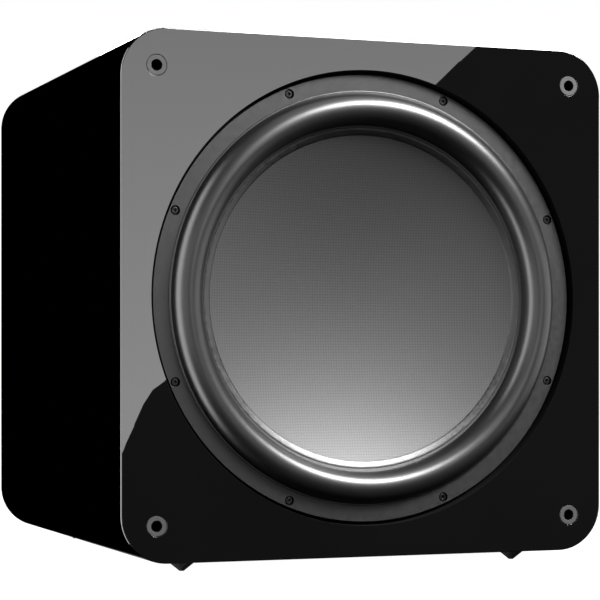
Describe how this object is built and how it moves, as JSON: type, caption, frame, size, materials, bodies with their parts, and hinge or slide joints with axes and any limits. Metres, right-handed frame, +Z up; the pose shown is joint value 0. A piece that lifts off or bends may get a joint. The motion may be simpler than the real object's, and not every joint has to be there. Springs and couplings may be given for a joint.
{
  "type": "subwoofer",
  "caption": "Sealed powered subwoofer: rounded cubic gloss black cabinet, large woven-cone driver with a half-roll surround, rear amplifier panel, tapered feet.",
  "frame": {"origin": "on the floor, under the centre of the whole object's bounding box", "axes": "+Z up, the driver faces -Y, the amplifier panel faces +Y, +X is to the right when looking along +Y"},
  "size_m": [0.502, 0.5295, 0.515],
  "materials": {
    "gloss_lacquer": "piano-gloss black polyester lacquer over fibreboard",
    "back_paint": "satin black paint over fibreboard",
    "raw_board": "bare fibreboard",
    "felt": "polyester felt",
    "socket_rubber": "moulded grey rubber",
    "foot_rubber": "matt black rubber",
    "zinc_steel": "zinc plated",
    "basket_coat": "satin black powder coat on cast aluminium",
    "seal_foam": "closed-cell foam",
    "black_steel": "black oxide",
    "motor_steel": "black electrophoretic paint",
    "ferrite": "ground ferrite",
    "black_plastic": "fine-grained moulding",
    "cable_sheath": "flexible sheath",
    "woven_fibre": "coated glass-fibre weave, silver grey",
    "surround_rubber": "satin butyl rubber",
    "cone_fibre": "pressed fibre, sealed",
    "plain_aluminium": "bare",
    "copper": "enamelled copper wire",
    "spider_cloth": "resin-stiffened cotton",
    "tinsel": "braided tinsel",
    "black_anodised": "bead blasted and anodised black",
    "tray_steel": "galvanised sheet",
    "circuit_board": "green solder resist",
    "brass_post": "turned brass",
    "can_sleeve": "shrink sleeve",
    "transformer_tape": "yellow winding tape",
    "tinned_blade": "nickel plated",
    "gold_plate": "gold plated brass",
    "washer_plastic": "coloured washer",
    "lens_plastic": "translucent lens"
  },
  "bodies": {
    "cabinet": {"outer_baffle": "gloss_lacquer", "inner_baffle": "raw_board", "left_panel": "gloss_lacquer", "right_panel": "gloss_lacquer", "top_panel": "gloss_lacquer", "bottom_panel": "gloss_lacquer", "corner_posts": "gloss_lacquer", "rear_panel": "back_paint", "window_brace": "raw_board", "wall_damping": "felt", "grille_sockets": "socket_rubber", "feet": "foot_rubber", "foot_studs": "zinc_steel", "driver_basket": "basket_coat", "frame_gasket": "seal_foam", "driver_screws": "black_steel", "tee_nuts": "zinc_steel", "top_plate": "motor_steel", "magnet_rings": "ferrite", "back_plate": "motor_steel", "pole_piece": "motor_steel", "magnet_boot": "foot_rubber", "motor_bolts": "zinc_steel", "terminal_block": "black_plastic", "driver_cable": "cable_sheath", "amp_plate": "black_anodised", "panel_screws": "black_steel", "heatsink": "black_anodised", "chassis_tray": "tray_steel", "signal_board": "circuit_board", "power_board": "circuit_board", "board_standoffs": "brass_post", "capacitors": "can_sleeve", "transformer": "transformer_tape", "mains_inlet": "black_plastic", "mains_blades": "tinned_blade", "switch_frame": "black_plastic", "control_pots": "tray_steel", "phono_shells": "gold_plate", "phono_inserts": "black_plastic", "phono_washers": "washer_plastic", "trigger_jack": "black_plastic", "status_lens": "lens_plastic"},
    "cone": {"woven_dish": "woven_fibre", "cone_ring": "surround_rubber", "structural_cone": "cone_fibre", "coil_former": "plain_aluminium", "coil_winding": "copper", "surround": "surround_rubber", "front_spider": "spider_cloth", "rear_spider": "spider_cloth", "tinsel_leads": "tinsel"},
    "rocker": {"power_rocker": "black_plastic"},
    "volume": {"volume_knob": "black_plastic", "volume_shaft": "plain_aluminium"},
    "crossover": {"crossover_knob": "black_plastic", "crossover_shaft": "plain_aluminium"},
    "slider": {"mode_slider": "black_plastic"},
    "button": {"setup_button": "black_plastic"}
  },
  "joints": [
    {"name": "cone_stroke", "type": "slide", "parent": "cabinet", "child": "cone", "axis": [0, -1, 0], "range_m": [-0.025, 0.025], "stiffness_N_per_m": 5000, "deforming": ["surround", "front_spider", "rear_spider", "tinsel_leads"]},
    {"name": "rocker_tilt", "type": "hinge", "parent": "cabinet", "child": "rocker", "pos_m": [0.01, 0.24775, 0.1175], "axis": [1, 0, 0], "range_deg": [-18, 0]},
    {"name": "volume_turn", "type": "hinge", "parent": "cabinet", "child": "volume", "pos_m": [0.095, 0.25075, 0.2375], "axis": [0, 1, 0], "range_deg": [-150, 150]},
    {"name": "crossover_turn", "type": "hinge", "parent": "cabinet", "child": "crossover", "pos_m": [0.045, 0.25075, 0.2375], "axis": [0, 1, 0], "range_deg": [-150, 150]},
    {"name": "mode_slide", "type": "slide", "parent": "cabinet", "child": "slider", "axis": [1, 0, 0], "range_m": [-0.003, 0.003]},
    {"name": "button_press", "type": "slide", "parent": "cabinet", "child": "button", "axis": [0, -1, 0], "range_m": [0, 0.0012], "stiffness_N_per_m": 400}
  ]
}
